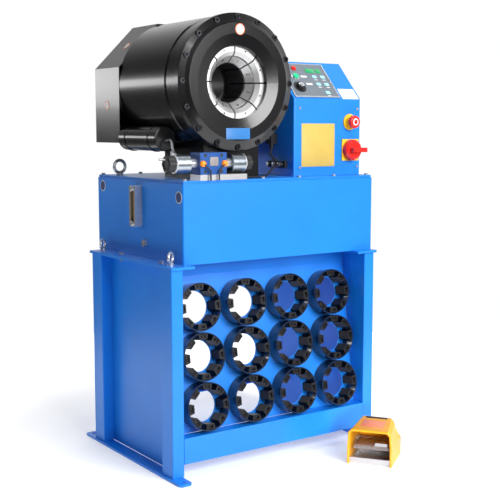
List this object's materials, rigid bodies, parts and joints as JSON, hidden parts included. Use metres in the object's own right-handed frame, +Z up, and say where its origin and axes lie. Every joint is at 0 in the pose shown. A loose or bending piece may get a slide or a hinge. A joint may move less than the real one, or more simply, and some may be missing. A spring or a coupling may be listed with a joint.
{
  "type": "hose crimping machine",
  "caption": "Free-standing hydraulic hose crimping machine: radial press head, oil tank and control box on a die-rack stand, with a guarded foot pedal.",
  "frame": {"origin": "on the floor, in the middle of the four anchor holes of the stand", "axes": "+Z up, front towards -Y, operator's left towards -X"},
  "size_m": [0.758, 0.8241, 1.314],
  "materials": {
    "frame_blue": "gloss powder coat",
    "cup_navy": "gloss",
    "black_oxide": "black oxide",
    "zinc": "bright zinc",
    "gauge_glass": "clear",
    "head_black": "gloss enamel",
    "ground_steel": "ground",
    "overlay_grey": "satin",
    "green_plastic": "gloss",
    "black_plastic": "moulded",
    "red_plastic": "gloss",
    "yellow_plastic": "gloss",
    "valve_blue": "gloss",
    "coil_steel": "zinc plated",
    "cast_alloy": "die cast"
  },
  "bodies": {
    "root": {"cable_entries": "black_plastic", "cap_screws": "zinc", "control_box": "frame_blue", "control_overlay": "overlay_grey", "corner_posts": "frame_blue", "cross_beams": "frame_blue", "die_cups": "cup_navy", "drain_plug": "zinc", "flange_screws": "zinc", "foot_plates": "frame_blue", "frame_bolts": "zinc", "front_flange": "head_black", "gauge_frame": "zinc", "gauge_glass": "gauge_glass", "head_barrel": "head_black", "head_pedestal": "head_black", "lifting_eyes": "zinc", "pedal_base": "cast_alloy", "pedal_guard": "yellow_plastic", "pedal_pin": "zinc", "rack_panel": "frame_blue", "rear_cover": "head_black", "return_filter": "head_black", "side_panels": "frame_blue", "stop_collar": "yellow_plastic", "stored_dies_row_1": "black_oxide", "stored_dies_row_2": "black_oxide", "stored_dies_row_3": "black_oxide", "switch_plate": "yellow_plastic", "tank_lid": "frame_blue", "tank_shell": "frame_blue", "top_plates": "frame_blue", "valve_base": "zinc", "valve_body": "valve_blue", "valve_coils": "coil_steel", "valve_leads": "black_plastic", "valve_tubes": "zinc"},
    "piston": {"press_piston": "ground_steel"},
    "start_button": {"start_button": "green_plastic"},
    "pressure_dial": {"pressure_dial": "black_plastic"},
    "stop_button": {"stop_button": "red_plastic"},
    "switch_knob": {"switch_knob": "red_plastic"},
    "treadle": {"pedal_treadle": "cast_alloy"},
    "die_1": {"master_die_1": "ground_steel", "inner_die_1": "black_oxide"},
    "die_2": {"master_die_2": "ground_steel", "inner_die_2": "black_oxide"},
    "die_3": {"master_die_3": "ground_steel", "inner_die_3": "black_oxide"},
    "die_4": {"master_die_4": "ground_steel", "inner_die_4": "black_oxide"},
    "die_5": {"master_die_5": "ground_steel", "inner_die_5": "black_oxide"},
    "die_6": {"master_die_6": "ground_steel", "inner_die_6": "black_oxide"},
    "die_7": {"master_die_7": "ground_steel", "inner_die_7": "black_oxide"},
    "die_8": {"master_die_8": "ground_steel", "inner_die_8": "black_oxide"}
  },
  "joints": [
    {"name": "piston_slide", "type": "slide", "parent": "root", "child": "piston", "axis": [0, -1, 0], "range_m": [-0.048, 0.02]},
    {"name": "die_slide_1", "type": "slide", "parent": "root", "child": "die_1", "axis": [-0.3827, 0, -0.9239], "range_m": [-0.012, 0.005]},
    {"name": "die_slide_2", "type": "slide", "parent": "root", "child": "die_2", "axis": [-0.9239, 0, -0.3827], "range_m": [-0.012, 0.005]},
    {"name": "die_slide_3", "type": "slide", "parent": "root", "child": "die_3", "axis": [-0.9239, 0, 0.3827], "range_m": [-0.012, 0.005]},
    {"name": "die_slide_4", "type": "slide", "parent": "root", "child": "die_4", "axis": [-0.3827, 0, 0.9239], "range_m": [-0.012, 0.005]},
    {"name": "die_slide_5", "type": "slide", "parent": "root", "child": "die_5", "axis": [0.3827, 0, 0.9239], "range_m": [-0.012, 0.005]},
    {"name": "die_slide_6", "type": "slide", "parent": "root", "child": "die_6", "axis": [0.9239, 0, 0.3827], "range_m": [-0.012, 0.005]},
    {"name": "die_slide_7", "type": "slide", "parent": "root", "child": "die_7", "axis": [0.9239, 0, -0.3827], "range_m": [-0.012, 0.005]},
    {"name": "die_slide_8", "type": "slide", "parent": "root", "child": "die_8", "axis": [0.3827, 0, -0.9239], "range_m": [-0.012, 0.005]},
    {"name": "start_press", "type": "slide", "parent": "root", "child": "start_button", "axis": [0, 0.7315, -0.6819], "range_m": [0, 0.003], "stiffness_N_per_m": 400, "springref_m": -0.001},
    {"name": "dial_turn", "type": "hinge", "parent": "root", "child": "pressure_dial", "pos_m": [0.153, -0.13727, 1.11211], "axis": [0, -0.7315, 0.6819], "range_deg": [-150, 150]},
    {"name": "stop_press", "type": "slide", "parent": "root", "child": "stop_button", "axis": [0, 1, 0], "range_m": [0, 0.006], "stiffness_N_per_m": 600, "springref_m": -0.001},
    {"name": "switch_turn", "type": "hinge", "parent": "root", "child": "switch_knob", "pos_m": [0.328, -0.175, 0.921], "axis": [0, -1, 0], "range_deg": [0, 90]},
    {"name": "treadle_press", "type": "hinge", "parent": "root", "child": "treadle", "pos_m": [0.26972, -0.38531, 0.044], "axis": [0.5906, -0.807, 0], "range_deg": [0, 12], "stiffness_Nm_per_rad": 2, "springref_deg": -17.19}
  ],
  "couplings": [
    {"joint": "die_slide_1", "follows": "piston_slide", "ratio": 0.25},
    {"joint": "die_slide_2", "follows": "piston_slide", "ratio": 0.25},
    {"joint": "die_slide_3", "follows": "piston_slide", "ratio": 0.25},
    {"joint": "die_slide_4", "follows": "piston_slide", "ratio": 0.25},
    {"joint": "die_slide_5", "follows": "piston_slide", "ratio": 0.25},
    {"joint": "die_slide_6", "follows": "piston_slide", "ratio": 0.25},
    {"joint": "die_slide_7", "follows": "piston_slide", "ratio": 0.25},
    {"joint": "die_slide_8", "follows": "piston_slide", "ratio": 0.25}
  ]
}
